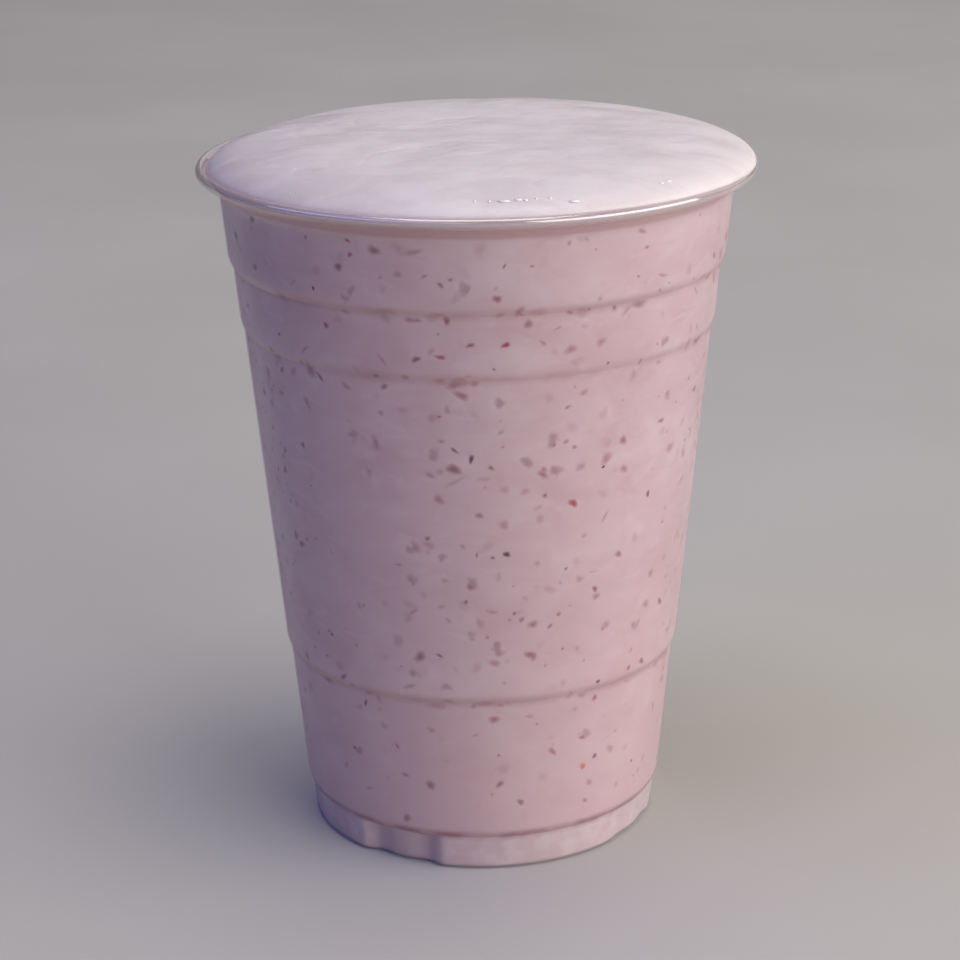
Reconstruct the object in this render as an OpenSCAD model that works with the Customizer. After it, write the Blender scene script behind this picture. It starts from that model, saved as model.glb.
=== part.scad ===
// Strawberry smoothie in a clear takeaway cup with a stepped wall, full to the brim
// and crowned with a low dome of froth that rests on the rim.
// Millimetres, +Z up. The origin is the centre of the foot ring, on the table.
// The front is -Y, and angles round the cup count from there towards +X.

/* [Cup] */
// Outer diameter of the rim
rim_d = 95; // [79:0.5:114]
// Outer diameter of the foot ring
base_d = 60.7; // [50.5:0.1:73]
// Height of the cup up to the top of its rim
cup_h = 118.2; // [98:0.1:142]
// Thickness of the moulded wall
wall_t = 0.6; // [0.4:0.05:0.8]

/* [Rim] */
// Diameter of the bead that ends the rim
bead_d = 1.6; // [1.3:0.05:2]
// Height over which the wall flares out to the bead
flare_h = 4.4; // [3.6:0.1:5.3]
// How far the bead stands out from the wall below the flare
rim_overhang = 3.8; // [3:0.1:4.6]

/* [Ledges] */
// Height of the low ledge above the table
low_ledge_z = 32.3; // [26:0.1:39]
// Distance of the middle ledge below the top of the rim
mid_ledge_drop = 27.9; // [23:0.1:33.5]
// Distance of the top ledge below the top of the rim
top_ledge_drop = 16.9; // [14:0.1:20.5]
// How far the wall steps out at the low ledge
low_ledge_w = 0.5; // [0.3:0.05:0.7]
// How far the wall steps out at the middle ledge
mid_ledge_w = 0.4; // [0.3:0.05:0.7]
// How far the wall steps out at the top ledge
top_ledge_w = 0.65; // [0.3:0.05:0.8]
// Height of the slope of each ledge
ledge_h = 1.8; // [1.2:0.1:2.4]

/* [Foot] */
// Height of the foot band
foot_h = 6.2; // [5:0.1:7.6]
// How far the wall steps out above the foot band
foot_step = 0.65; // [0.4:0.05:0.8]
// Bevel of the foot ring's outer edge
foot_bevel = 0.5; // [0.3:0.05:0.6]
// Width of the foot ring
ring_w = 6.2; // [5:0.1:7.5]
// Height of the floor's underside above the table
recess_h = 3; // [2:0.1:3.6]
// Number of pairs of notches round the foot band
notch_pairs = 4; // [2:1:6]
// Direction of the middle of the first pair
notch_turn = -28.75; // [-45:0.25:45]
// Angle between the two notches of a pair
notch_spread = 18.5; // [15.5:0.5:22]
// Radius of a notch
notch_r = 2.9; // [2.4:0.1:3.5]
// Depth of a notch at the table
notch_depth = 1.6; // [1.2:0.1:1.9]

/* [Drink] */
// Depth of the drink's level below the top of the rim
drink_drop = 1.6; // [1.3:0.1:2]
// Height of the froth above the top of the rim
froth_h = 5.2; // [4.3:0.1:6.3]
// How flat the middle of the froth is
froth_flatness = 3.7; // [3:0.1:4.5]
// How bluntly the froth turns over at its edge
froth_bluntness = 1.9; // [1.5:0.1:2.3]

/* [Hidden] */
$fn = 96;

base_r = base_d / 2;
bead_r = bead_d / 2;
bead_mid = [rim_d / 2 - bead_r, cup_h - bead_r];
bead_steps = 10;
flare_z = cup_h - flare_h;
drink_z = cup_h - drink_drop;
froth_steps = 28;
ledges = [
    [foot_h, foot_step],
    [low_ledge_z, low_ledge_w],
    [cup_h - mid_ledge_drop, mid_ledge_w],
    [cup_h - top_ledge_drop, top_ledge_w]
];
all_steps = foot_step + low_ledge_w + mid_ledge_w + top_ledge_w;
taper = (rim_d / 2 - rim_overhang - base_r - all_steps) / flare_z;

function clamp01(x) = min(1, max(0, x));
function step_r(z, i) = i < 0 ? 0 :
    ledges[i][1] * clamp01((z - ledges[i][0]) / ledge_h) + step_r(z, i - 1);

// Outer radius of the wall at a height below the flare
function wall_r(z) = base_r + taper * z + step_r(z, len(ledges) - 1);

// Foot and top of every ledge, moved in by a thickness
function ledge_points(t) = [
    for (l = ledges, z = [l[0], l[0] + ledge_h]) [wall_r(z) - t, z]
];

// Point of the bead at an angle above the outward direction
function bead_point(a) = bead_mid + bead_r * [cos(a), sin(a)];
bead_start = -45;
bead_end = 135;
bead_arc = [
    for (i = [0 : bead_steps])
        bead_point(bead_start + (bead_end - bead_start) * i / bead_steps)
];

// The lip's inner face runs straight from the top of the wall to the bead
lip_low = [wall_r(flare_z) - wall_t, flare_z + wall_t / 2];
lip_high = bead_point(bead_end);
function lip_r(z) = lip_low[0]
    + (lip_high[0] - lip_low[0]) * (z - lip_low[1]) / (lip_high[1] - lip_low[1]);

outer_half = concat(
    [[0, recess_h], [base_r - ring_w, recess_h], [base_r - ring_w, 0]],
    [[base_r - foot_bevel, 0], [wall_r(foot_bevel), foot_bevel]],
    ledge_points(0),
    [[wall_r(flare_z), flare_z]],
    bead_arc,
    [[0, lip_high[1]]]
);

// The inside stands off the outside by the wall's thickness everywhere
floor_z = recess_h + wall_t;
function inner_half(top) = concat(
    [[0, floor_z], [base_r - ring_w + wall_t, floor_z], [base_r - ring_w + wall_t, wall_t]],
    [[wall_r(wall_t) - foot_bevel - wall_t, wall_t]],
    [[wall_r(wall_t + foot_bevel) - wall_t, wall_t + foot_bevel]],
    ledge_points(wall_t),
    [lip_low],
    top
);

// Height of the froth above its edge, at a share of its radius
froth_top = cup_h + froth_h;
function crown(s) = (froth_top - lip_high[1]) * pow(1 - pow(s, froth_flatness), 1 / froth_bluntness);

// Shares of the radius, closer together towards the edge
froth_half = concat(
    [[0, drink_z], [lip_r(drink_z), drink_z]],
    [
        for (i = [0 : froth_steps])
            let (s = cos(90 * i / froth_steps))
                [lip_high[0] * s, lip_high[1] + crown(s)]
    ]
);

// Upright rounded grooves in pairs round the foot, widened by a wall's thickness
module notches(grow) {
    for (i = [0 : notch_pairs - 1], side = [-0.5, 0.5])
        rotate([0, 0, notch_turn + i * 360 / notch_pairs + side * notch_spread])
            translate([0, notch_depth - notch_r - base_r, -1])
                cylinder(r = notch_r + grow, h = foot_h + grow + 1);
}

// Everything inside the cup, up to the end of the given half outline
module inside(top) {
    difference() {
        rotate_extrude() polygon(inner_half(top));
        notches(wall_t);
    }
}

module cup() {
    color([0.93, 0.88, 0.9, 0.45])
        difference() {
            rotate_extrude() polygon(outer_half);
            notches(0);
            inside([lip_high, [lip_high[0], cup_h + 1], [0, cup_h + 1]]);
        }
}

module smoothie() {
    color([0.8, 0.62, 0.66])
        inside([[lip_r(drink_z), drink_z], [0, drink_z]]);
}

module froth() {
    color([0.92, 0.86, 0.89])
        rotate_extrude() polygon(froth_half);
}

cup();
smoothie();
froth();
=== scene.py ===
"""A strawberry smoothie in a clear stepped takeaway cup, full to the brim and crowned with froth.

Lengths are millimetres until a mesh is made. Angles round the cup are degrees from the
front (-Y) towards +X. Everything is built from the frame's boxes and the named sizes below.
"""
import math

import bpy
import numpy as np
from mathutils import Matrix, Vector, noise


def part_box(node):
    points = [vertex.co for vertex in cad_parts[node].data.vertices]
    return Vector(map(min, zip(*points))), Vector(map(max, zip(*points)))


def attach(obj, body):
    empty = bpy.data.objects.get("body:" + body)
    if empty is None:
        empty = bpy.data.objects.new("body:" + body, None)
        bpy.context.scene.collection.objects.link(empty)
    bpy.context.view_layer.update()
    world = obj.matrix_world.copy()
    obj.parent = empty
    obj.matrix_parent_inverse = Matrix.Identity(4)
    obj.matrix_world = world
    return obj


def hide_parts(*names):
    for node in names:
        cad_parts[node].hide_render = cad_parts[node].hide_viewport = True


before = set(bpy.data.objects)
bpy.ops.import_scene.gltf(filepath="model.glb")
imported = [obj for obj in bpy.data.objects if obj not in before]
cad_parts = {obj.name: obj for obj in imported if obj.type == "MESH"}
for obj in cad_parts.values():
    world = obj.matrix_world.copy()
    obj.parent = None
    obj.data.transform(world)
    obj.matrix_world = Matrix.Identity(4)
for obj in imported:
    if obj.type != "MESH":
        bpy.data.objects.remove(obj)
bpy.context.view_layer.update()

MM = 0.001

# ---------------------------------------------------------------- sizes of the frame
cup_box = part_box("cup")
froth_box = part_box("froth")
drink_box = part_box("smoothie")
RIM_R = cup_box[1].x / MM
CUP_H = cup_box[1].z / MM
FROTH_TOP = froth_box[1].z / MM
DRINK_TOP = drink_box[1].z / MM

# ---------------------------------------------------------------- sizes of the cup
BASE_R = 30.35
WALL = 0.6
BEAD_R = 0.8
FLARE_H = 4.4
OVERHANG = 3.8
LEDGE_H = 1.8
FOOT_H = 6.2
LOW_LEDGE_Z = 32.3
MID_LEDGE_DROP = 27.9
TOP_LEDGE_DROP = 16.9
LEDGES = (
    (FOOT_H, 0.65),
    (LOW_LEDGE_Z, 0.5),
    (CUP_H - MID_LEDGE_DROP, 0.4),
    (CUP_H - TOP_LEDGE_DROP, 0.65),
)
FOOT_BEVEL = 0.5
RING_W = 6.2
RECESS_H = 3.0
REACH = 0.4  # how far the contents reach into the wall, so that no gap shows

# The notches of the foot band: places and widths in degrees round the cup, depths in millimetres
NOTCH_PAIRS = 4
NOTCH_TURN = -28.75
NOTCH_SPREAD = 18.5
NOTCH_HALF = 6.3  # from a notch's middle out to where the band is whole
NOTCH_SLOPE = 6.4  # how long the slope at each end of a recess is
NOTCH_SHARES = (1.0, 0.4, 0.8, 0.6)  # how fully each pair is pressed in, from the front left round
LOBE_SLOPE = (2, 7)  # from a notch's middle in to where the lobe starts, and where it is full
NOTCH_DEPTH = 1.3
LOBE_RISE = 0.3

FLARE_Z = CUP_H - FLARE_H
FLOOR_Z = RECESS_H + WALL
BEAD_MID = (RIM_R - BEAD_R, CUP_H - BEAD_R)
TAPER = (RIM_R - OVERHANG - BASE_R - sum(w for _, w in LEDGES)) / FLARE_Z
COLUMNS = 480


def wall_r(z):
    """Outer radius of the wall at heights below the flare: each ledge leaves in a crisp corner."""
    z = np.asarray(z, float)
    r = BASE_R + TAPER * z
    for low, width in LEDGES:
        t = np.clip((z - low) / LEDGE_H, 0, 1)
        r = r + width * (1 - (1 - t) ** 1.6)
    return r


def bead_point(angle):
    a = math.radians(angle)
    return BEAD_MID[0] + BEAD_R * math.cos(a), BEAD_MID[1] + BEAD_R * math.sin(a)


LIP_LOW = (float(wall_r(FLARE_Z)) - WALL, FLARE_Z + WALL / 2)
LIP_HIGH = bead_point(135)


def lip_r(z):
    """Radius of the lip's inner face, which runs straight up to the bead."""
    share = (z - LIP_LOW[1]) / (LIP_HIGH[1] - LIP_LOW[1])
    return LIP_LOW[0] + (LIP_HIGH[0] - LIP_LOW[0]) * share


def wall_heights(low, high):
    """Heights for rings of the wall: sparse on the plain stretches and close on each ledge."""
    marks = [low, high]
    for z, _ in LEDGES:
        marks += list(z + LEDGE_H * np.array((-0.35, -0.06, 0.0, 0.08, 0.2, 0.38, 0.6, 0.85, 1.1)))
    marks += list(np.arange(low, high, 3.2))
    marks = np.array(sorted(m for m in marks if low <= m <= high))
    return marks[np.concatenate([[True], np.diff(marks) > 0.02])]


def foot_heights(low):
    """Heights for rings of the foot band, close together where the notches end."""
    return np.array([z for z in (low, low + 0.5, 1.6, 2.8, 4.0, 5.0, 5.8, 6.05, 6.12) if z >= low])


def step(value, low, high):
    """A smooth step from nought at low to one at high, which may be the smaller of the two."""
    t = np.clip((value - low) / (high - low), 0, 1)
    return t * t * (3 - 2 * t)


def foot_press():
    """How far the foot band is pressed in, round the cup: each pair of notches and the short
    lobe between them read as one soft recess, which the lobe fills a little in its middle."""
    pressed = np.zeros(COLUMNS)
    notch = NOTCH_SPREAD / 2
    for pair, share in enumerate(NOTCH_SHARES):
        off = np.abs((PHI - NOTCH_TURN - pair * 360 / NOTCH_PAIRS + 180) % 360 - 180)
        recess = step(off, notch + NOTCH_HALF, notch + NOTCH_HALF - NOTCH_SLOPE)
        lobe = step(off, notch - LOBE_SLOPE[0], notch - LOBE_SLOPE[1])
        pressed += share * (NOTCH_DEPTH * recess - LOBE_RISE * lobe)
    return pressed


# ---------------------------------------------------------------- meshes
PHI = np.arange(COLUMNS) * 360 / COLUMNS


def at(r, phi, z):
    """Points from radius, angle and height."""
    a = np.radians(phi)
    return np.stack(np.broadcast_arrays(r * np.sin(a), -r * np.cos(a), z), -1)


def make_piece(name, points, faces, material, replaces=()):
    """One mesh object that rides on the body, from millimetre points."""
    mesh = bpy.data.meshes.new(name)
    mesh.from_pydata((np.asarray(points) * MM).tolist(), [], faces)
    mesh.validate()
    mesh.update()
    piece = bpy.data.objects.new(name, mesh)
    bpy.context.scene.collection.objects.link(piece)
    mesh.materials.append(material)
    mesh.shade_smooth()
    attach(piece, "root")
    if replaces:
        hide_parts(*replaces)
    return piece


def store(piece, name, values):
    """Keeps one number per point on a piece, for its material."""
    layer = piece.data.attributes.new(name, "FLOAT", "POINT")
    layer.data.foreach_set("value", np.array(values, np.float32))


def ring_faces(first, count, rings, flip=False):
    """Quads between rings of count points each, the first of which starts at first."""
    faces = []
    for i in range(rings - 1):
        a = first + i * count
        b = a + count
        for j in range(count):
            k = (j + 1) % count
            faces.append((a + j, b + j, b + k, a + k) if flip else (a + j, a + k, b + k, b + j))
    return faces


def revolve(rings):
    """Points and faces of a closed body of revolution, from rings of points that run from the
    axis below, round the outside, to the axis above."""
    points = np.concatenate([np.asarray(ring).reshape(-1, 3) for ring in rings])
    count = len(rings)
    faces = ring_faces(0, COLUMNS, count)
    bottom = len(points)
    top = bottom + 1
    axis = [[0, 0, rings[0][0][2]], [0, 0, rings[-1][0][2]]]
    points = np.concatenate([points, np.array(axis, float)])
    last = (count - 1) * COLUMNS
    for j in range(COLUMNS):
        k = (j + 1) % COLUMNS
        faces.append((bottom, k, j))
        faces.append((top, last + j, last + k))
    return points, faces


def round_ring(r, z):
    return at(r, PHI, z)


def notched_ring(r, z):
    """A ring of the foot band, pressed in at the notches."""
    return at(float(r) - foot_press(), PHI, z)


def cup_rings():
    """The cup's skin, from the middle of its underside over the rim to the middle of its floor."""
    ring_in = BASE_R - RING_W
    rings = [round_ring(ring_in * s, RECESS_H) for s in (0.02, 0.5, 0.97)]
    ring_side = ((-0.1, RECESS_H - 0.12), (0.0, 1.5), (0.1, 0.12), (0.3, 0))
    rings += [round_ring(ring_in + out, z) for out, z in ring_side]
    rings += [notched_ring(BASE_R - FOOT_BEVEL - s, 0) for s in (3.2, 1.8, 0.0)]
    rings += [notched_ring(BASE_R - 0.15, 0.16)]
    rings += [notched_ring(wall_r(z), z) for z in foot_heights(FOOT_BEVEL)]
    rings += [round_ring(wall_r(z), z) for z in wall_heights(FOOT_H, FLARE_Z - 1.4)]
    rings += [round_ring(r, z) for r, z in flare_points()]
    rings += [round_ring(*bead_point(a)) for a in np.linspace(-45, 135, 14)]
    rings += [round_ring(lip_r(z), z) for z in np.linspace(LIP_HIGH[1], LIP_LOW[1], 5)[1:]]
    rings += [round_ring(wall_r(z) - WALL, z) for z in wall_heights(FOOT_H + WALL, FLARE_Z - 0.5)[::-1]]
    rings += [notched_ring(wall_r(z) - WALL, z) for z in foot_heights(WALL + FOOT_BEVEL)[::-1]]
    rings += [notched_ring(BASE_R - FOOT_BEVEL - WALL, WALL)]
    rings += [round_ring(ring_in + WALL + 0.2, WALL), round_ring(ring_in + WALL, FLOOR_Z - 0.2)]
    rings += [round_ring((ring_in + WALL) * s, FLOOR_Z) for s in (0.99, 0.5, 0.02)]
    return rings


def flare_points():
    """Outer side of the flare under the bead, with a soft cove at its foot."""
    low = (float(wall_r(FLARE_Z)), FLARE_Z)
    high = bead_point(-45)
    before = (float(wall_r(FLARE_Z - 1.2)), FLARE_Z - 1.2)
    after = (low[0] + (high[0] - low[0]) * 0.4, low[1] + (high[1] - low[1]) * 0.4)
    points = []
    for t in np.linspace(0, 1, 7):
        points.append(tuple((1 - t) ** 2 * b + 2 * t * (1 - t) * m + t * t * a
                            for b, m, a in zip(before, low, after)))
    points.append(tuple((a + h) / 2 for a, h in zip(after, high)))
    return points


def drink_r(z):
    """Radius of the drink's skin, which reaches a little into the wall."""
    return wall_r(z) - WALL + REACH


def drink_rings():
    """The drink's skin, from the middle of its underside to the middle of its level."""
    groove_in = BASE_R - RING_W + WALL - REACH
    floor = FLOOR_Z - REACH
    low = WALL - REACH
    rings = [round_ring(groove_in * s, floor) for s in (0.02, 0.5, 0.97)]
    rings += [round_ring(groove_in, floor - 0.3), round_ring(groove_in + 0.2, low)]
    rings += [notched_ring(BASE_R - FOOT_BEVEL - WALL + REACH, low)]
    rings += [notched_ring(drink_r(z), z) for z in foot_heights(low + FOOT_BEVEL)]
    rings += [round_ring(drink_r(z), z) for z in wall_heights(FOOT_H + 0.1, FLARE_Z - 0.2)]
    rings += [round_ring(lip_r(z) + REACH, z) for z in np.linspace(LIP_LOW[1] + 0.1, DRINK_TOP, 4)]
    rings += [round_ring(lip_r(DRINK_TOP) * s, DRINK_TOP) for s in (0.99, 0.5, 0.02)]
    return rings


def add_drink():
    """The drink, with how far each point lies in a notch of the foot kept for the painted shade in the
    notches.
    """
    points, faces = revolve(drink_rings())
    piece = make_piece("drink", points, faces, drink_material(), replaces=("smoothie",))
    pressed = np.tile(foot_press() / NOTCH_DEPTH, (len(points) - 2) // COLUMNS)
    store(piece, "pressed", np.append(pressed, (0, 0)))


# ---------------------------------------------------------------- the froth
FROTH_SHIFT = 0.85  # the froth sits a little off the cup's middle, towards +X
FROTH_R = 45.9
FROTH_SPREAD = 0.45  # and it is this much longer than FROTH_R along X
FROTH_FLATNESS = 3.7
FROTH_BLUNTNESS = 1.9
FROTH_RINGS = 190
FROTH_HEADROOM = 0.45  # how far the dome's own top stays below the froth's highest swell
FROTH_CALM = 0.2  # the share of its radius over which the swells die out towards the edge
CREASE_DEPTH = 0.08
CREASE_LENGTH = 8.5
CREASE_GAP = 4.6


def noise_at(x, y, z=0.0):
    return noise.noise(Vector((x, y, z)))


def rim_contact(r):
    """Height of the lip's inner face or of the bead's top at a radius."""
    on_lip = LIP_LOW[1] + (r - LIP_LOW[0]) * (LIP_HIGH[1] - LIP_LOW[1]) / (LIP_HIGH[0] - LIP_LOW[0])
    if r <= LIP_HIGH[0]:
        return on_lip
    return BEAD_MID[1] + math.sqrt(max(BEAD_R ** 2 - (r - BEAD_MID[0]) ** 2, 0))


def froth_relief(x, y):
    """Height that the settled foam's folds and swells add, in plan coordinates."""
    swell = 0.3 * noise_at(x / 21 + 3.1, y / 17 - 1.7) + 0.16 * noise_at(x / 8, y / 6, 4.2)
    turn = 2.6 * noise_at(x / 26, y / 26, 7.7)
    u = x / CREASE_LENGTH + 0.35 * turn
    v = y / CREASE_GAP + turn + 0.5 * noise_at(x / 7, y / 4, 1.3)
    line = noise_at(u, v, 2.4)
    present = max(0.0, min(1.0, 0.5 + 1.9 * noise_at(x / 15 + 9, y / 9, 5.5)))
    crease = -CREASE_DEPTH * present * math.exp(-(line / 0.075) ** 2)
    fold = 0.06 * noise_at(u * 1.7, v * 1.5, 8.1) + 0.02 * noise_at(x / 1.7, y / 0.9, 3.3)
    grain = 0.006 * noise_at(x / 0.5, y / 0.45, 6.6)
    return swell, crease + fold, grain


def froth_edge(phi):
    """Radius of the froth's edge round its own middle, slightly uneven."""
    a = math.radians(phi)
    x, y = math.sin(a), math.cos(a)
    broad = 0.16 * noise_at(2.2 * x + 5, 2.2 * y)
    fine = 0.05 * noise_at(9 * x, 9 * y + 5)
    return FROTH_R + FROTH_SPREAD * abs(x) + broad + fine


def froth_piece(material):
    """The dome of froth: a side that sits in the lip, a rounded edge and a creased top."""
    top = FROTH_TOP - FROTH_HEADROOM
    rings = []
    edge = np.array([froth_edge(p) for p in PHI])
    side = at(edge, PHI, 0.0)
    side[:, 0] += FROTH_SHIFT
    reach = np.hypot(side[:, 0], side[:, 1])
    contact = np.array([rim_contact(r) for r in reach])
    direction = np.degrees(np.arctan2(side[:, 0], -side[:, 1]))
    for z_share in (0.0, 0.5):
        z = DRINK_TOP + (contact - DRINK_TOP) * z_share
        rings.append(at(lip_r(z) + REACH, direction, z))
    angles = np.linspace(0, 1, FROTH_RINGS)
    shares = np.sin(np.pi / 2 * (1 - angles)) ** 0.9
    for s in shares[:-1]:
        ring = []
        rise = (1 - s ** FROTH_FLATNESS) ** (1 / FROTH_BLUNTNESS)
        calm = min(1.0, max(0.0, (1 - s) / FROTH_CALM))
        for j in range(COLUMNS):
            x, y = side[j, 0] * s, side[j, 1] * s
            swell, relief, grain = froth_relief(x, y)
            z = contact[j] + (top - contact[j]) * rise
            z += calm * swell + (calm ** 2) * relief + min(1.0, 4 * rise) * grain
            ring.append((x, y, min(z, FROTH_TOP)))
        rings.append(ring)
    points, faces = revolve([np.array(r) for r in [round_under(rings[0])] + rings])
    return make_piece("froth_dome", points, faces, material, replaces=("froth",))


def round_under(ring):
    """The middle of the froth's flat underside, as a small ring."""
    inner = np.array(ring) * 0.02
    inner[:, 2] = DRINK_TOP
    return inner


# ---------------------------------------------------------------- shader helpers
class Shader:
    """A node material under construction. Values may be numbers, tuples or sockets."""

    def __init__(self, name):
        self.material = bpy.data.materials.new(name)
        self.material.use_nodes = True
        self.tree = self.material.node_tree
        self.tree.nodes.clear()
        self.output = self.add("ShaderNodeOutputMaterial")
        self.place = self.add("ShaderNodeTexCoord").outputs["Object"]

    def add(self, kind, values=None, **settings):
        made = self.tree.nodes.new(kind)
        for key, value in settings.items():
            setattr(made, key, value)
        for key, value in (values or {}).items():
            if isinstance(value, bpy.types.NodeSocket):
                self.tree.links.new(value, made.inputs[key])
            else:
                made.inputs[key].default_value = value
        return made

    def noise(self, scale, detail=3.0, roughness=0.5, distortion=0.0, place=None):
        made = self.add("ShaderNodeTexNoise", {
            "Vector": place or self.place, "Scale": scale, "Detail": detail,
            "Roughness": roughness, "Distortion": distortion})
        return made.outputs["Fac"]

    def stretched(self, x, y, z):
        """The piece's own coordinates, scaled along each axis."""
        made = self.add("ShaderNodeVectorMath", {0: self.place, 1: (x, y, z)}, operation="MULTIPLY")
        return made.outputs[0]

    def math(self, kind, a, b=0.0, clamp=False):
        return self.add("ShaderNodeMath", {0: a, 1: b}, operation=kind, use_clamp=clamp).outputs[0]

    def span(self, value, low, high, to_low=0.0, to_high=1.0):
        """A smooth step from to_low at low to to_high at high."""
        made = self.add("ShaderNodeMapRange", {
            "Value": value, "From Min": low, "From Max": high, "To Min": to_low, "To Max": to_high},
            interpolation_type="SMOOTHSTEP")
        return made.outputs["Result"]

    def mix(self, share, a, b):
        made = self.add("ShaderNodeMix", data_type="RGBA")
        for index, value in ((0, share), (6, a), (7, b)):
            if isinstance(value, bpy.types.NodeSocket):
                self.tree.links.new(value, made.inputs[index])
            else:
                made.inputs[index].default_value = value if index == 0 else (*value, 1.0)
        return made.outputs[2]

    def height(self):
        """The point's height in metres."""
        return self.add("ShaderNodeSeparateXYZ", {0: self.place}).outputs["Z"]

    def finish(self, shader):
        self.tree.links.new(shader, self.output.inputs["Surface"])
        return self.material


# ---------------------------------------------------------------- materials
PINK = (0.67, 0.48, 0.505)
PINK_DEEP = (0.63, 0.43, 0.455)
PINK_PALE = (0.705, 0.54, 0.56)
PINK_LOW = (0.69, 0.475, 0.485)
PINK_FOOT = (0.66, 0.475, 0.485)
PINK_FOOT_PALE = (0.75, 0.59, 0.60)
# painted shade in the recesses of the foot band
PINK_RECESS_SHADE = (0.60, 0.42, 0.44)
# painted shade in the concave corner under each ledge, a little browner as for the thicker plastic
# there
PINK_LEDGE_SHADE = (0.44, 0.23, 0.22)
FOOT_LINE = (0.36, 0.13, 0.17)
# painted shade and a painted warm reflection under the flared lip
PINK_LIP_SHADE = (0.57, 0.33, 0.315)
FROTH_COLOUR = (0.835, 0.755, 0.77)
FROTH_DARK = (0.78, 0.69, 0.70)
# painted shade where the froth rolls under at its edge against the rim
FROTH_EDGE_SHADE = (0.70, 0.55, 0.58)
SPOT = (0.33, 0.15, 0.19)
LEDGE_SHADE_STRENGTHS = (0.46, 0.36, 0.46)  # strengths of the painted shade under the low, middle and top ledges
LEDGE_SHADE_RISE = 0.2  # how far above a ledge's foot its darker line of painted shade runs
FOOT_LINE_RISE = 0.35  # the same for the red line over the foot band
LOW_TONE = (0.07, 0.01)  # heights in metres where the warmer tone starts, and where it is full
FEW_SPECKS = (0.012, 0.04)  # heights in metres between which the sunk specks become many
CUP_TINT = (0.97, 0.955, 0.965, 1)
CUP_MILK = (0.80, 0.72, 0.76)
# the flare's brownish haze: partly the thicker plastic's cloud, partly painted shade and a painted warm
# reflection
RIM_MILK_AND_SHADE = (0.63, 0.43, 0.42)
BEAD_MILK = (0.76, 0.66, 0.68)
RIM_START = (3.4, 1.4)  # distances below the rim's top where its haze starts, and where it is full
BEAD_START = (2.2, 1.2)  # the same for the bead's crisp gloss
PLASTIC_IOR = 1.46


def cloudy_pink(s, z):
    """Broad paler and pinker clouds with faint streaks, and a warmer tone low down."""
    clouds = s.noise(78, 4, 0.6, 0.4, s.stretched(1, 1, 1.4))
    colour = s.mix(s.span(clouds, 0.34, 0.52), PINK_DEEP, PINK)
    colour = s.mix(s.span(clouds, 0.5, 0.68), colour, PINK_PALE)
    streaks = s.noise(150, 2, 0.5, 0.8, s.stretched(1, 1, 2.6))
    colour = s.mix(s.span(streaks, 0.54, 0.72, 0, 0.65), colour, PINK_PALE)
    colour = s.mix(s.span(streaks, 0.44, 0.28, 0, 0.4), colour, PINK_DEEP)
    return s.mix(s.span(z, *LOW_TONE, 0, 0.5), colour, PINK_LOW)


def sunk_specks(s, z):
    """Share of soft specks deep in the drink: some cells of a wobbly pattern, few of them low down."""
    wobble = s.add("ShaderNodeTexNoise", {"Vector": s.place, "Scale": 420, "Detail": 2})
    moved = s.add("ShaderNodeVectorMath", {0: wobble.outputs["Color"], 1: (0.0032,) * 3},
                  operation="MULTIPLY")
    moved = s.add("ShaderNodeVectorMath", {0: s.place, 1: moved.outputs[0]}, operation="ADD")
    cells = s.add("ShaderNodeTexVoronoi", {"Vector": moved.outputs[0], "Scale": 215}, feature="F1")
    spot = s.span(cells.outputs["Distance"], 0.30, 0.06)
    picked = s.span(s.add("ShaderNodeSeparateXYZ", {0: cells.outputs["Color"]}).outputs[0], 0.55, 0.95)
    spot = s.math("MULTIPLY", spot, picked)
    return s.math("MULTIPLY", s.math("MULTIPLY", spot, s.span(z, *FEW_SPECKS, 0.25, 1)), 0.62)


def line_share(s, z, height, start, full, strength, patches):
    """Share of a soft level line at a height, stronger and weaker by patches. It starts and is
    full at these distances from its middle."""
    near = s.math("ABSOLUTE", s.math("SUBTRACT", z, height * MM))
    return s.math("MULTIPLY", s.span(near, start * MM, full * MM, 0, strength), patches)


def foot_colour(s):
    """The foot band's milkier tone, with painted shade in the recesses that the notches press into it.
    """
    foot = s.mix(s.span(s.noise(260, 3), 0.36, 0.64), PINK_FOOT, PINK_FOOT_PALE)
    pressed = s.add("ShaderNodeAttribute", attribute_name="pressed").outputs["Fac"]
    # Painted shade: the drink darkens where the foot band is pressed in.
    return s.mix(s.span(pressed, 0.1, 0.9, 0, 0.75), foot, PINK_RECESS_SHADE)


def drink_colour(s):
    """Blended milk and fruit, with a line of painted shade under each ledge, a milkier foot under a red
    line with painted shade in its recesses, and a lip browned by painted shade and reflection."""
    z = s.height()
    colour = cloudy_pink(s, z)
    colour = s.mix(sunk_specks(s, z), colour, SPOT)
    # Painted shade: a darker, browner line in the concave corner under each ledge, partly a tint of the
    # thicker plastic there.
    for (low, _), strength in zip(LEDGES[1:], LEDGE_SHADE_STRENGTHS):
        patches = s.span(s.noise(95, 3), 0.34, 0.58, 0.35, 1)
        line = line_share(s, z, low + LEDGE_SHADE_RISE, 1.5, 0.1, strength, patches)
        colour = s.mix(line, colour, PINK_LEDGE_SHADE)
    in_foot = s.span(z, (FOOT_H + 0.35) * MM, (FOOT_H - 0.1) * MM)
    colour = s.mix(in_foot, colour, foot_colour(s))
    patches = s.span(s.noise(170, 3), 0.36, 0.6, 0.4, 1)
    line = line_share(s, z, FOOT_H + FOOT_LINE_RISE, 1.4, 0.0, 0.85, patches)
    colour = s.mix(line, colour, FOOT_LINE)
    # Painted shade and a painted warm reflection: the drink turns browner and darker under the flared
    # lip.
    lip = s.span(z, (FLARE_Z + 0.1) * MM, (FLARE_Z + 0.8) * MM, 0, 0.8)
    return s.mix(lip, colour, PINK_LIP_SHADE)


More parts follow.
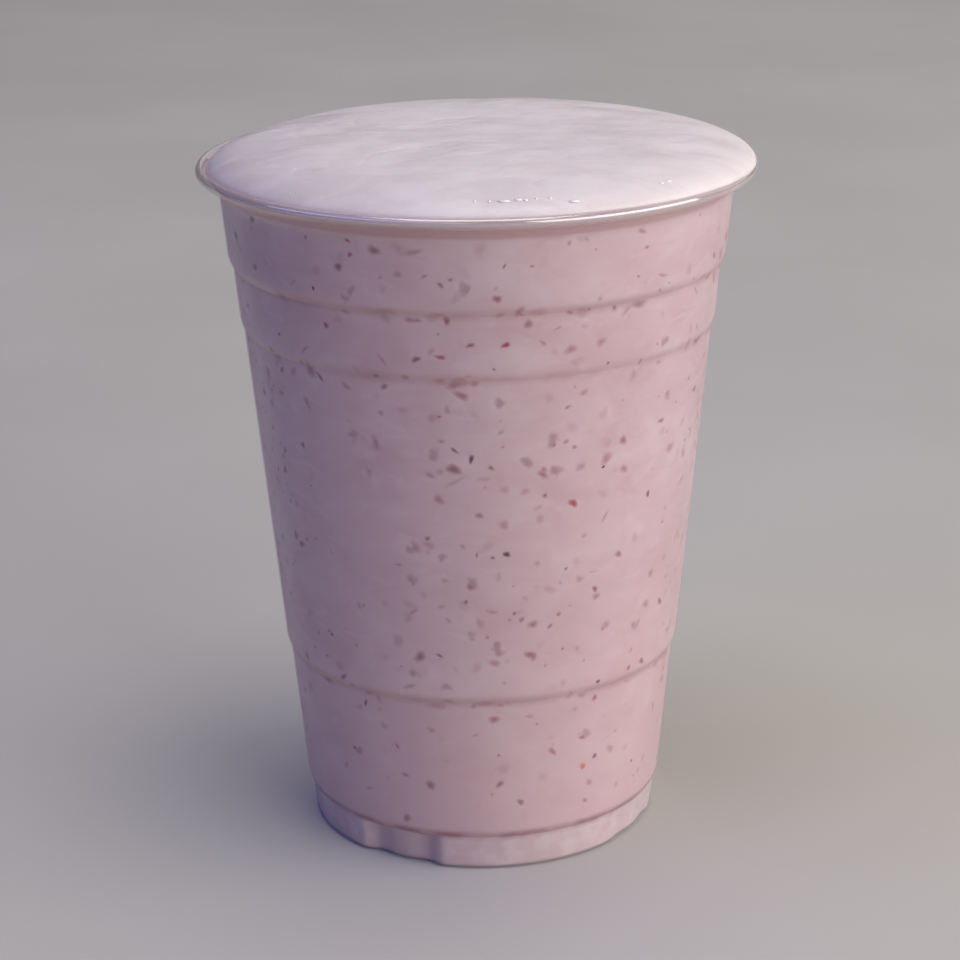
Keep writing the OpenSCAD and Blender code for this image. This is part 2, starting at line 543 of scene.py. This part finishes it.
def drink_material():
    s = Shader("drink")
    bump = s.add("ShaderNodeBump", {"Height": s.noise(300, 3), "Strength": 0.12, "Distance": 0.0004})
    rough = s.span(s.noise(120, 2), 0.3, 0.7, 0.5, 0.68)
    skin = s.add("ShaderNodeBsdfPrincipled", {
        "Base Color": drink_colour(s), "Roughness": rough, "Specular IOR Level": 0.12,
        "Normal": bump.outputs[0]})
    return s.finish(skin.outputs[0])


def fleck_material(name, core, core_edge):
    """A fleck sunk in the drink: the drink's own colour at its rim, its own in the middle."""
    s = Shader(name)
    depth = s.add("ShaderNodeAttribute", attribute_name="depth").outputs["Fac"]
    grain = s.span(s.noise(900, 2), 0.35, 0.65, -0.15, 0.15)
    own = s.mix(s.span(s.math("ADD", depth, grain), 0.3, 0.85), core_edge, core)
    colour = s.mix(s.math("MULTIPLY", depth, 1.0, True), drink_colour(s), own)
    bump = s.add("ShaderNodeBump", {"Height": s.noise(700, 2), "Strength": 0.1, "Distance": 0.0003})
    rough = s.span(grain, -0.15, 0.15, 0.5, 0.7)
    skin = s.add("ShaderNodeBsdfPrincipled", {
        "Base Color": colour, "Roughness": rough, "Specular IOR Level": 0.12,
        "Normal": bump.outputs[0]})
    return s.finish(skin.outputs[0])


def froth_material():
    s = Shader("froth")
    flat = s.stretched(1, 2.2, 1)
    clouds = s.noise(70, 4, 0.6, 0.6, flat)
    colour = s.mix(s.span(clouds, 0.35, 0.62), FROTH_DARK, FROTH_COLOUR)
    # Painted shade: the froth darkens to mauve where it rolls under at the rim.
    colour = s.mix(s.span(s.height(), (CUP_H + 0.25) * MM, (CUP_H - 0.35) * MM), colour, FROTH_EDGE_SHADE)
    fine = s.noise(1500, 3, 0.6)
    bubbles = s.add("ShaderNodeTexVoronoi", {"Vector": s.place, "Scale": 1700}, feature="F1")
    tall = s.math("ADD", s.math("MULTIPLY", fine, 0.6), bubbles.outputs["Distance"])
    bump = s.add("ShaderNodeBump", {"Height": tall, "Strength": 0.14, "Distance": 0.00012})
    rough = s.span(clouds, 0.3, 0.7, 0.34, 0.5)
    skin = s.add("ShaderNodeBsdfPrincipled", {
        "Base Color": colour, "Roughness": rough, "Specular IOR Level": 0.35,
        "Subsurface Weight": 0.35, "Subsurface Radius": (1.0, 0.75, 0.75),
        "Subsurface Scale": 0.0016, "Normal": bump.outputs[0]})
    return s.finish(skin.outputs[0])


def bubble_and_glint_material():
    s = Shader("bubble")
    # whiter than the froth: real gloss, and on the glints a pale colour that is partly a painted
    # highlight
    tone = s.mix(s.noise(500, 2), (0.93, 0.89, 0.92), (0.96, 0.93, 0.95))
    rough = s.span(s.noise(900, 2), 0.3, 0.7, 0.03, 0.1)
    skin = s.add("ShaderNodeBsdfPrincipled", {
        "Base Color": tone, "Roughness": rough, "Specular IOR Level": 0.6})
    return s.finish(skin.outputs[0])


def cup_material():
    """Thin clear plastic, a little milky: what is behind shows through under a soft gloss. The
    rolled rim is thicker, so it is cloudier, and it carries a crisp highlight; the brownish haze on the
    flare under it is partly painted shade and a painted warm reflection."""
    s = Shader("cup_plastic")
    ripple = s.noise(55, 2, 0.5, 0.3, s.stretched(1, 1, 0.35))
    bump = s.add("ShaderNodeBump", {"Height": ripple, "Strength": 0.2, "Distance": 0.0006})
    z = s.height()
    in_foot = s.span(z, (FOOT_H + 0.3) * MM, (FOOT_H - 0.2) * MM)
    in_rim = s.span(z, (CUP_H - RIM_START[0]) * MM, (CUP_H - RIM_START[1]) * MM)
    in_bead = s.span(z, (CUP_H - BEAD_START[0]) * MM, (CUP_H - BEAD_START[1]) * MM)
    clear = s.add("ShaderNodeBsdfTransparent", {"Color": CUP_TINT})
    # the flare's haze colour is partly painted shade and a painted reflection
    cloud = s.mix(in_bead, s.mix(in_rim, CUP_MILK, RIM_MILK_AND_SHADE), BEAD_MILK)
    milk = s.add("ShaderNodeBsdfDiffuse", {"Color": cloud, "Normal": bump.outputs[0]})
    haze = s.span(s.noise(40, 3), 0.3, 0.7, 0.05, 0.11)
    haze = s.math("ADD", haze, s.math("MULTIPLY", in_foot, 0.18))
    haze = s.math("ADD", haze, s.math("MULTIPLY", in_rim, 0.18))
    haze = s.math("ADD", haze, s.math("MULTIPLY", in_bead, 0.16))
    body = s.add("ShaderNodeMixShader", {0: haze, 1: clear.outputs[0], 2: milk.outputs[0]})
    rough = s.span(s.noise(90, 2), 0.3, 0.7, 0.16, 0.26)
    rough = s.math("MULTIPLY", rough, s.span(in_bead, 0, 1, 1, 0.3))
    gloss = s.add("ShaderNodeBsdfGlossy", {"Color": (1, 1, 1, 1), "Roughness": rough,
                                          "Normal": bump.outputs[0]})
    behind = s.add("ShaderNodeNewGeometry").outputs["Backfacing"]
    ior = s.span(behind, 0, 1, PLASTIC_IOR, 1 / PLASTIC_IOR)
    edge = s.add("ShaderNodeFresnel", {"IOR": ior, "Normal": bump.outputs[0]}).outputs[0]
    edge = s.math("ADD", s.math("MINIMUM", edge, 0.22), s.math("MULTIPLY", in_bead, 0.14))
    skin = s.add("ShaderNodeMixShader", {0: edge, 1: body.outputs[0], 2: gloss.outputs[0]})
    return s.finish(skin.outputs[0])


# ---------------------------------------------------------------- flecks in the drink
FLECK_RINGS = (0.22, 0.42, 0.62, 0.82, 1.0)
FLECK_SPOKES = 12
FLECK_SPREAD = 1.45  # a fleck's soft fringe reaches this far past its listed size
FLECK_LIFT = (0.012, 0.018)  # how far a fleck's middle stands out of the skin, and more if strong
FLECK_SOFTNESS = 2.8  # how gently a fleck of crispness one fades from its middle out
SINK = 0.01  # how far a fleck's fringe dips under the skin
RNG = np.random.default_rng(20)


def fleck_outline(long, wide):
    """Points of one uneven, slightly bent fleck lying flat, each with how far out it is."""
    shape = RNG.uniform(0, 2 * np.pi, 3)
    bend = RNG.uniform(-0.35, 0.35) if long > 2 * wide else 0.0
    rows = [(0.0, 0.0, 0.0)]
    for ring in FLECK_RINGS:
        for k in range(FLECK_SPOKES):
            a = 2 * math.pi * k / FLECK_SPOKES
            uneven = 1 + 0.16 * math.sin(2 * a + shape[0]) + 0.11 * math.sin(3 * a + shape[1])
            uneven += 0.07 * math.sin(5 * a + shape[2])
            x = ring * uneven * long * math.cos(a)
            y = ring * uneven * wide * math.sin(a) + bend * wide * (x / long) ** 2
            rows.append((x, y, ring))
    return rows


def fleck_faces(first):
    """Triangles round the fleck's middle point, then quads from ring to ring."""
    faces = []
    for k in range(FLECK_SPOKES):
        faces.append((first, first + 1 + k, first + 1 + (k + 1) % FLECK_SPOKES))
    for ring in range(len(FLECK_RINGS) - 1):
        a = first + 1 + ring * FLECK_SPOKES
        for k in range(FLECK_SPOKES):
            n = (k + 1) % FLECK_SPOKES
            faces.append((a + k, a + FLECK_SPOKES + k, a + FLECK_SPOKES + n, a + n))
    return faces


def fleck_mesh(flecks):
    """Points, faces and depth of flecks that follow the drink's skin. Each fleck is a tuple:
    angle round the cup, height, half length, half width, tilt, strength, crispness."""
    points, faces, depth = [], [], []
    for phi, z, long, wide, tilt, strength, crisp in flecks:
        faces += fleck_faces(len(points))
        lift = FLECK_LIFT[0] + FLECK_LIFT[1] * strength
        ca, sa = math.cos(math.radians(tilt)), math.sin(math.radians(tilt))
        for x, y, ring in fleck_outline(long * FLECK_SPREAD, wide * FLECK_SPREAD):
            u, v = x * ca - y * sa, x * sa + y * ca
            height = z + v
            r = float(drink_r(height))
            r += lift * (1 - ring ** 2) - (SINK if ring == 1.0 else 0)
            a = math.radians(phi) + u / r
            points.append((r * math.sin(a), -r * math.cos(a), height))
            depth.append(strength * (1 - ring ** 2) ** (FLECK_SOFTNESS / crisp))
    return points, faces, depth


def fleck_piece(name, flecks):
    points, faces, depth = fleck_mesh(flecks)
    piece = make_piece(name, points, faces, fleck_material(name, *FLECK_COLOURS[name]))
    store(piece, "depth", depth)


def crowding(phi, z):
    """How thickly flecks lie at a place: loose groups, few near the foot, and fewer where the
    front's own marks already lie."""
    a = math.radians(phi)
    loose = 0.65 + 0.8 * noise_at(2.6 * math.sin(a), 2.6 * math.cos(a), z / 13)
    low = 0.45 + 0.55 * min(1, max(0, (z - 10) / 45))
    marked = 0.42 if abs(phi) < 52 and 50 < z < 98 else 1
    return loose * low * marked


def scattered(count, low, high, length, width, strength, crisp, level=0.0):
    """Flecks strewn over the drink's skin. A level of one would lay them all flat."""
    found = []
    while len(found) < count:
        phi, z = RNG.uniform(-180, 180), RNG.uniform(low, high)
        if RNG.uniform() > crowding(phi, z):
            continue
        tilt = RNG.uniform(-90, 90) * (1 - level)
        size = RNG.uniform(0, 1) ** 1.8
        half = length[0] + (length[1] - length[0]) * size
        found.append((phi, z, half, half * RNG.uniform(*width), tilt,
                      RNG.uniform(*strength), RNG.uniform(*crisp)))
    return found


def ledge_flecks(count):
    """Soft bits that gather in the corner under each ledge."""
    found = []
    for z, _ in LEDGES[1:]:
        for _ in range(count):
            half = RNG.uniform(0.5, 1.5)
            found.append((RNG.uniform(-180, 180), z + RNG.uniform(-0.8, 0.5), half,
                          half * RNG.uniform(0.35, 0.6), RNG.uniform(-12, 12),
                          RNG.uniform(0.3, 0.75), RNG.uniform(1.6, 2.6)))
    return found


# The marks that stand out at the front, each a tuple as fleck_mesh takes it. Their angles and
# heights came out of a separate program, from places read off the photo.
# The other numbers were chosen one by one.
DARK_MARKS = (
    (-2, 77, 0.62, 0.4, 80, 1.0, 3), (-6, 78.5, 0.85, 0.28, -30, 0.8, 2),
    (-9, 80, 0.5, 0.42, 0, 0.45, 2), (6.5, 60, 0.7, 0.38, -8, 1.0, 3),
    (3, 59.5, 0.36, 0.28, -20, 0.7, 2.4), (-1, 60, 0.4, 0.24, 80, 0.6, 2.4),
    (-49, 75.5, 0.62, 0.45, 80, 0.8, 2.4), (-14, 94, 0.75, 0.42, 15, 0.8, 2.4),
    (31.5, 73.5, 0.26, 0.24, 0, 1.0, 4), (16, 70, 0.5, 0.36, 70, 0.7, 2),
    (-4, 51.5, 0.42, 0.34, 20, 0.7, 2.4), (21, 85, 0.5, 0.36, 30, 0.6, 2),
    (-58, 73, 0.6, 0.4, 60, 0.6, 2), (1.5, 45, 0.34, 0.26, 0, 0.6, 2.4),
    (-47, 42, 0.42, 0.34, 0, 0.5, 2),
)
PULP_MARKS = (
    (-43, 89.5, 1.75, 0.85, -58, 0.62, 1.9), (-45.5, 83.5, 1.1, 0.65, -70, 0.5, 1.6),
    (-25.5, 79, 1.15, 0.62, -82, 0.45, 1.6), (-12, 74, 0.7, 0.5, -20, 0.5, 1.8),
    (-16.5, 61, 1.15, 0.6, -70, 0.5, 1.7), (-13, 61.5, 0.95, 0.75, 0, 0.36, 1.6),
    (-28, 73.5, 0.9, 0.6, -50, 0.4, 1.6), (21, 95, 0.95, 0.75, 10, 0.6, 1.8),
    (28.5, 95.5, 0.85, 0.7, 0, 0.55, 1.8), (18, 53, 1.25, 0.75, -15, 0.3, 1.5),
    (6, 71.5, 1.0, 0.6, -10, 0.34, 1.5), (-11, 84, 0.85, 0.75, 0, 0.4, 1.6),
    (-32.5, 88, 1.2, 0.4, -35, 0.5, 1.8), (32.5, 77.5, 0.85, 0.6, 60, 0.3, 1.6),
    (14.5, 58, 0.6, 0.45, 0, 0.4, 1.6), (5, 81.5, 0.6, 0.4, 10, 0.45, 1.8),
    (-15, 27, 0.7, 0.5, 0, 0.4, 1.7), (13.5, 29.5, 0.65, 0.4, 0, 0.4, 1.7),
    (-10.5, 50.5, 0.6, 0.42, 10, 0.4, 1.7),
)
RED_MARKS = (
    (23.5, 68, 0.75, 0.6, -40, 1.0, 3), (15.5, 74.5, 0.7, 0.5, 70, 0.62, 1.8),
    (11, 71, 0.8, 0.5, 0, 0.45, 1.8), (6, 96.5, 0.62, 0.45, 10, 1.0, 3),
    (-8.5, 94.5, 0.95, 0.3, -2, 0.9, 2.6), (-10.5, 95.5, 0.7, 0.6, 30, 0.4, 1.7),
    (14.5, 68, 0.85, 0.45, 25, 0.3, 1.6), (-1, 90, 0.75, 0.45, -10, 0.55, 1.8),
    (1, 73.5, 1.0, 0.5, 5, 0.3, 1.6), (-4.5, 61.5, 0.5, 0.45, 0, 0.4, 1.8),
    (4.5, 56, 0.8, 0.5, 80, 0.34, 1.7),
)
ORANGE_MARKS = ((31.5, 18, 0.62, 0.5, 40, 0.9, 2.6),)
FIBRE_MARKS = (
    (33, 64.5, 1.1, 0.26, 62, 0.5, 1.8), (-22, 93.5, 1.25, 0.24, -58, 0.4, 1.8),
    (-6, 73, 1.9, 0.42, 32, 0.28, 1.6),
)

# The colour of each kind of fleck in its middle, and nearer its edge
FLECK_COLOURS = {
    "seeds": ((0.06, 0.008, 0.014), (0.25, 0.075, 0.085)),
    "pulp_bits": ((0.23, 0.045, 0.06), (0.36, 0.10, 0.12)),
    "red_bits": ((0.38, 0.025, 0.05), (0.45, 0.11, 0.13)),
    "orange_bit": ((0.62, 0.10, 0.035), (0.66, 0.17, 0.07)),
    "fibres": ((0.19, 0.05, 0.065), (0.29, 0.095, 0.11)),
    "milk_spots": ((0.80, 0.68, 0.71), (0.76, 0.62, 0.66)),
}


def add_flecks():
    """Every kind of fleck as one piece: the marks at the front, then those strewn all round."""
    seeds = list(DARK_MARKS)
    seeds += scattered(62, 12, 113, (0.25, 0.6), (0.55, 0.9), (0.45, 1), (2.2, 3.6))
    pulp = list(PULP_MARKS) + ledge_flecks(34)
    pulp += scattered(620, 9, 113.5, (0.26, 1.1), (0.5, 0.95), (0.25, 0.9), (1.5, 2.8), 0.25)
    pulp += scattered(230, 9, 113.5, (0.6, 1.7), (0.5, 0.9), (0.10, 0.28), (1.2, 1.8), 0.3)
    red = list(RED_MARKS)
    red += scattered(52, 14, 112, (0.35, 0.85), (0.55, 0.95), (0.3, 0.8), (1.6, 2.8), 0.3)
    fibres = list(FIBRE_MARKS)
    fibres += scattered(80, 10, 113, (0.6, 1.4), (0.2, 0.36), (0.25, 0.65), (1.6, 2.4), 0.2)
    pale = scattered(70, 8, 112, (0.8, 2.6), (0.4, 0.8), (0.12, 0.4), (1.2, 1.6), 0.4)
    fleck_piece("seeds", seeds)
    fleck_piece("pulp_bits", pulp)
    fleck_piece("red_bits", red)
    fleck_piece("orange_bit", ORANGE_MARKS)
    fleck_piece("fibres", fibres)
    fleck_piece("milk_spots", pale)


# ---------------------------------------------------------------- bubbles on the froth
# The wet glints near the froth's front edge, flattened glossy bubbles whose pale colour is partly a
# painted highlight: angle, radius, half length
GLINTS = (
    (-1.3, 42.8, 0.2), (1.7, 42.9, 0.22), (4.7, 42.9, 1.05), (7.3, 42.8, 0.65), (9, 43.1, 0.4),
    (11, 42.8, 0.25), (14.3, 42.9, 0.35), (18.8, 44.2, 0.95), (41, 43.0, 0.5), (43.5, 42.9, 0.8),
)


def add_bubbles(froth, material):
    """Small wet bubbles that stand in the froth, and the longer wet glints near its front edge.
    Each is a flattened ball: angle, radius from the froth's middle, half length, half width."""
    skin = np.array([v.co for v in froth.data.vertices]) / MM
    skin = skin[skin[:, 2] > DRINK_TOP + 1.0]
    places = []
    for _ in range(70):
        r = FROTH_R * (1 - 0.45 * RNG.uniform() ** 2) - 1.3
        size = RNG.uniform(0.06, 0.14)
        places.append((RNG.uniform(-180, 180), r, size, size))
    places += [(phi, r, long, 0.3 + 0.3 * long) for phi, r, long in GLINTS]
    points, faces = [], []
    for phi, r, long, wide in places:
        a = math.radians(phi)
        x, y = r * math.sin(a) + FROTH_SHIFT, -r * math.cos(a)
        near = skin[np.argmin((skin[:, 0] - x) ** 2 + (skin[:, 1] - y) ** 2)]
        add_ball(points, faces, near, a, long, wide)
    points = np.array(points)
    points[:, 2] = np.minimum(points[:, 2], FROTH_TOP)
    return make_piece("froth_bubbles", points, faces, material)


def add_ball(points, faces, middle, turn, long, wide):
    """A flattened ball of ten by six faces, laid along the froth's edge and sunk a little."""
    first = len(points)
    high = min(wide, 0.2)
    along = np.array((math.cos(turn), math.sin(turn), 0))
    across = np.array((-math.sin(turn), math.cos(turn), 0))
    lift = np.array((0, 0, 1.0))
    centre = np.array(middle) - 0.3 * high * lift
    for i in range(1, 6):
        polar = math.pi * i / 6
        for k in range(10):
            a = math.pi * k / 5
            flat = math.sin(polar) * (long * math.cos(a) * along + wide * math.sin(a) * across)
            points.append(centre + flat + high * math.cos(polar) * lift)
    points.append(centre + high * lift)
    points.append(centre - high * lift)
    faces += ring_faces(first, 10, 5, flip=True)
    for k in range(10):
        n = (k + 1) % 10
        faces.append((first + 50, first + k, first + n))
        faces.append((first + 51, first + 40 + n, first + 40 + k))


# ---------------------------------------------------------------- the room
def add_floor():
    s = Shader("floor")
    tone = s.mix(s.span(s.noise(6, 3), 0.3, 0.7), (0.52, 0.505, 0.48), (0.56, 0.545, 0.52))
    skin = s.add("ShaderNodeBsdfPrincipled", {"Base Color": tone, "Roughness": 0.75})
    mesh = bpy.data.meshes.new("floor")
    half = 3.0
    mesh.from_pydata([(-half, -half, 0), (half, -half, 0), (half, half, 0), (-half, half, 0)], [],
                     [(0, 1, 2, 3)])
    floor = bpy.data.objects.new("floor", mesh)
    bpy.context.scene.collection.objects.link(floor)
    mesh.materials.append(s.finish(skin.outputs[0]))


def add_light(name, azimuth, elevation, distance, size, power, colour, only_gloss=False):
    """A soft light of a width and a height that faces the cup's middle. One that is only for
    gloss shows in highlights and lights nothing else."""
    a, e = math.radians(azimuth), math.radians(elevation)
    way = Vector((math.sin(a) * math.cos(e), -math.cos(a) * math.cos(e), math.sin(e)))
    data = bpy.data.lights.new(name, "AREA")
    data.shape = "RECTANGLE"
    data.size = size[0]
    data.size_y = size[1]
    data.energy = power
    data.color = colour
    lamp = bpy.data.objects.new(name, data)
    lamp.location = Vector((0, 0, 0.07)) + way * distance
    lamp.rotation_euler = way.to_track_quat("Z", "Y").to_euler()
    lamp.visible_diffuse = not only_gloss
    bpy.context.scene.collection.objects.link(lamp)


def add_lights():
    add_light("window", 61, 18, 2.2, (3.4, 1.6), 58.5, (1.0, 0.98, 0.95))
    add_light("ceiling", 0, 88, 2.2, (1.6, 1.6), 23.5, (1.0, 0.95, 0.84))
    add_light("cool_fill", -64, 42, 2.2, (2.6, 2.6), 14.0, (0.12, 0.17, 1.0))
    add_light("left_glint", -50, 35, 2.2, (4.0, 0.5), 10, (0.90, 0.90, 1.0), True)
    add_light("back_fill", 152, 35, 2.2, (3.0, 2.0), 9, (1.0, 0.97, 0.97))
    world = bpy.data.worlds.new("room")
    world.use_nodes = True
    back = world.node_tree.nodes["Background"]
    back.inputs["Color"].default_value = (0.80, 0.84, 1.0, 1)
    back.inputs["Strength"].default_value = 0.009
    bpy.context.scene.world = world


CAMERA_AT = (0.0, -454.5, 211.1)
CAMERA_DOWN = 18.32
CAMERA_ROLL = -0.67
CAMERA_LENS = 102.0


def add_camera():
    """The camera stands at the front and looks down on the cup, turned by a hair."""
    down, roll = math.radians(CAMERA_DOWN), math.radians(CAMERA_ROLL)
    ahead = Vector((0, math.cos(down), -math.sin(down)))
    right = Vector((1, 0, 0))
    up = right.cross(ahead)
    turned_right = math.cos(roll) * right + math.sin(roll) * up
    turned_up = -math.sin(roll) * right + math.cos(roll) * up
    data = bpy.data.cameras.new("camera")
    data.lens = CAMERA_LENS
    data.sensor_width = 36
    camera = bpy.data.objects.new("camera", data)
    turn = Matrix((turned_right, turned_up, -ahead)).transposed()
    camera.matrix_world = Matrix.Translation(Vector(CAMERA_AT) * MM) @ turn.to_4x4()
    bpy.context.scene.collection.objects.link(camera)
    bpy.context.scene.camera = camera


# ---------------------------------------------------------------- build
add_camera()
add_lights()
add_floor()
bpy.context.scene.view_settings.view_transform = "Standard"

points, faces = revolve(cup_rings())
make_piece("cup_wall", points, faces, cup_material(), replaces=("cup",))
add_drink()
add_flecks()
froth = froth_piece(froth_material())
add_bubbles(froth, bubble_and_glint_material())
